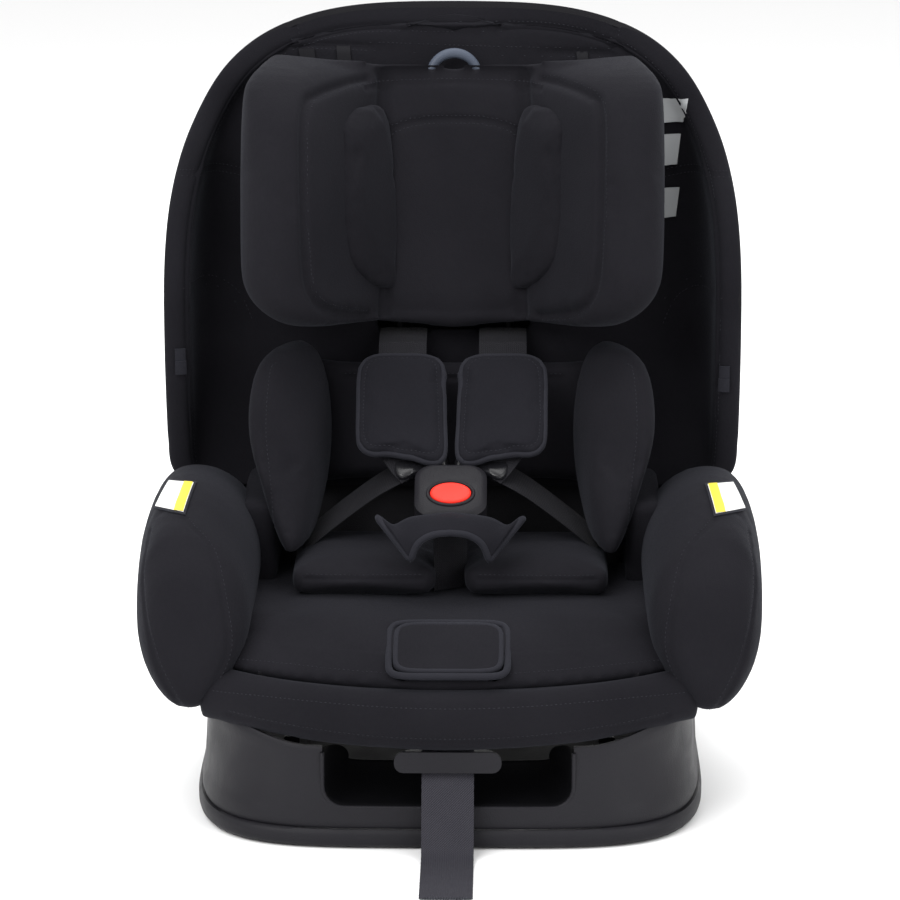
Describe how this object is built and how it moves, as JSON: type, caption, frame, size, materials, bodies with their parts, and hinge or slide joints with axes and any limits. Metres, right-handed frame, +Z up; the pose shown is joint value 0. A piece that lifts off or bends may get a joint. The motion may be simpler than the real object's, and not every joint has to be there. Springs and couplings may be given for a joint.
{
  "type": "convertible car seat",
  "caption": "Padded child car seat with a height-adjustable winged headrest, five-point harness with buckle, infant insert and a base that it slides on to recline.",
  "frame": {"origin": "under the base, on the flat it rests on, below the middle of the seat", "axes": "the child faces -Y, +Z is up, +X is to the right of someone who faces the seat"},
  "size_m": [0.4778, 0.5635, 0.5872],
  "materials": {
    "black_fabric": "matt knitted fabric over foam",
    "harness_padding": "soft padded fabric with a bound edge",
    "satin_plastic": "satin moulded plastic",
    "shell_plastic": "matt moulded plastic",
    "black_webbing": "woven polyester webbing",
    "grey_webbing": "woven polyester webbing",
    "zinc_steel": "zinc plated",
    "red_button": "gloss",
    "blue_grey_plastic": "satin",
    "rubber": "matt"
  },
  "bodies": {
    "base": {"base_tray": "satin_plastic", "base_shell": "satin_plastic", "base_rail_left": "satin_plastic", "base_rail_right": "satin_plastic", "recline_rack": "zinc_steel", "foot_pad_1": "rubber", "foot_pad_2": "rubber", "foot_pad_3": "rubber", "foot_pad_4": "rubber", "rail_screw_1": "zinc_steel", "rail_screw_2": "zinc_steel", "rail_screw_3": "zinc_steel", "rail_screw_4": "zinc_steel"},
    "recline_lever": {"recline_handle": "satin_plastic", "recline_bolt": "zinc_steel"},
    "headrest": {"headrest_shell": "shell_plastic", "headrest_pad": "black_fabric", "headrest_carriage": "satin_plastic", "headrest_wing_left": "black_fabric", "headrest_wing_right": "black_fabric", "head_pad_left": "black_fabric", "head_pad_right": "black_fabric"},
    "headrest_handle": {"headrest_handle": "blue_grey_plastic"},
    "buckle_button": {"buckle_button": "red_button"},
    "tongue_left": {"tongue_left": "satin_plastic"},
    "tongue_right": {"tongue_right": "satin_plastic"},
    "adjuster_flap": {"adjuster_flap": "black_fabric"},
    "adjuster_lever": {"adjuster_lever": "zinc_steel"},
    "seat": {"adjuster_housing": "zinc_steel", "adjuster_strap": "grey_webbing", "back_cover": "black_fabric", "back_panel": "shell_plastic", "bolster_left": "black_fabric", "bolster_right": "black_fabric", "buckle_housing": "satin_plastic", "crotch_pad": "harness_padding", "crotch_strap": "black_webbing", "guide_rod_left": "zinc_steel", "guide_rod_right": "zinc_steel", "harness_yoke": "zinc_steel", "insert_back": "black_fabric", "insert_lobe_left": "black_fabric", "insert_lobe_right": "black_fabric", "insert_wing_left": "black_fabric", "insert_wing_right": "black_fabric", "lap_strap_left": "black_webbing", "lap_strap_right": "black_webbing", "recline_plate": "satin_plastic", "rod_bracket_bottom": "satin_plastic", "rod_bracket_top": "satin_plastic", "runner_left": "shell_plastic", "runner_right": "shell_plastic", "seat_cushion": "black_fabric", "seat_shell": "shell_plastic", "shoulder_pad_left": "harness_padding", "shoulder_pad_right": "harness_padding", "shoulder_strap_left": "black_webbing", "shoulder_strap_right": "black_webbing", "tether_anchor": "zinc_steel"}
  },
  "joints": [
    {"name": "seat_recline", "type": "hinge", "parent": "base", "child": "seat", "pos_m": [0, -0.02, 0.545], "axis": [-1, 0, 0], "range_deg": [0, 12]},
    {"name": "recline_squeeze", "type": "slide", "parent": "seat", "child": "recline_lever", "axis": [0, 0, 1], "range_m": [0, 0.009], "stiffness_N_per_m": 600, "springref_m": -0.012},
    {"name": "headrest_height", "type": "slide", "parent": "seat", "child": "headrest", "axis": [0, 0.2588, 0.9659], "range_m": [0, 0.1]},
    {"name": "headrest_release", "type": "slide", "parent": "headrest", "child": "headrest_handle", "axis": [0, 0.2588, 0.9659], "range_m": [0, 0.008], "stiffness_N_per_m": 300, "springref_m": -0.004},
    {"name": "button_press", "type": "slide", "parent": "seat", "child": "buckle_button", "axis": [0, 0.5299, -0.848], "range_m": [0, 0.004], "stiffness_N_per_m": 900, "springref_m": -0.002},
    {"name": "tongue_left_pull", "type": "slide", "parent": "seat", "child": "tongue_left", "axis": [0, 0.848, 0.5299], "range_m": [0, 0.024]},
    {"name": "tongue_right_pull", "type": "slide", "parent": "seat", "child": "tongue_right", "axis": [0, 0.848, 0.5299], "range_m": [0, 0.024]},
    {"name": "flap_lift", "type": "hinge", "parent": "seat", "child": "adjuster_flap", "pos_m": [0, -0.1759, 0.1576], "axis": [-1, 0, 0], "range_deg": [0, 110]},
    {"name": "adjuster_press", "type": "hinge", "parent": "seat", "child": "adjuster_lever", "pos_m": [0, -0.178, 0.1372], "axis": [1, 0, 0], "range_deg": [0, 8], "stiffness_Nm_per_rad": 0.3, "springref_deg": -8.59}
  ]
}
